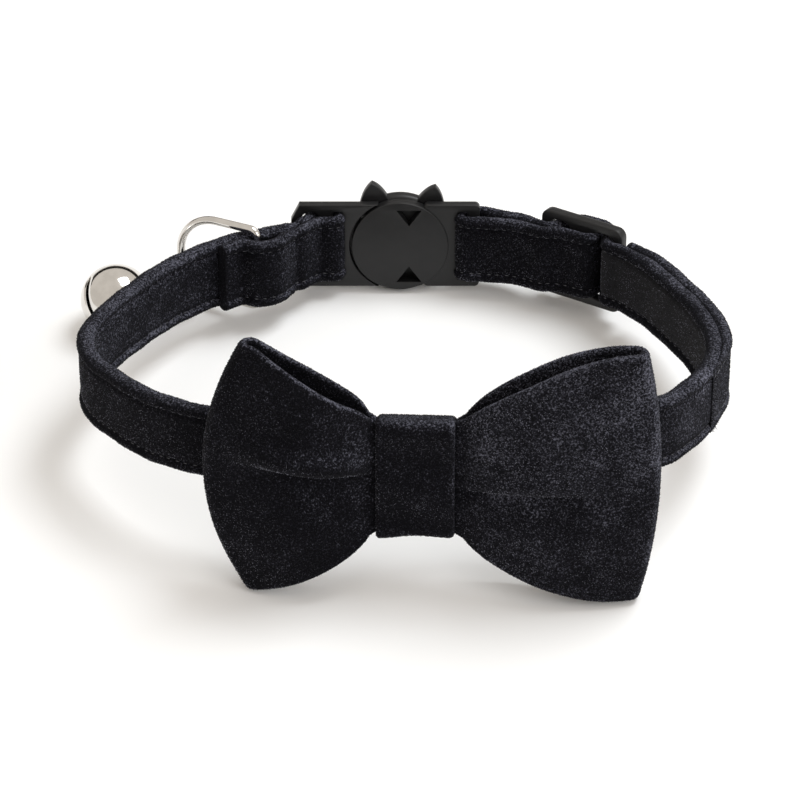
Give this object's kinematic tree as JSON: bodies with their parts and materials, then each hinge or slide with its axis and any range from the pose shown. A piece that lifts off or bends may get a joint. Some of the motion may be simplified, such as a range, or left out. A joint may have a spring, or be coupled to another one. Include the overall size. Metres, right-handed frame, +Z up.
{
  "type": "pet bow tie collar",
  "caption": "Velvet cat collar with a looped bow tie, breakaway buckle with an eared round face, slider, D-ring and jingle bell.",
  "frame": {"origin": "on the surface that the collar lies on, under the middle of its bounding box", "axes": "+Z up from that surface; -Y towards the bow at the front, +Y towards the buckle at the back; +X to the right as seen from the front"},
  "size_m": [0.0908, 0.0734, 0.037],
  "materials": {
    "velvet": "short pile velvet",
    "black_plastic": "moulded, satin",
    "nickel": "bright plated wire and sheet"
  },
  "bodies": {
    "collar": {"strap": "velvet", "strap_tail": "velvet", "bow": "velvet", "bow_knot": "velvet", "buckle_head": "black_plastic", "buckle_disc": "black_plastic", "slider": "black_plastic"},
    "ring": {"d_ring": "nickel", "jump_ring": "nickel", "bell": "nickel", "bell_pellet": "nickel"}
  },
  "joints": [
    {"name": "d_ring_swing", "type": "hinge", "parent": "collar", "child": "ring", "pos_m": [-0.02004, 0.02505, 0.00882], "axis": [0, -0.173, -0.9849], "range_deg": [-8, 75]}
  ]
}
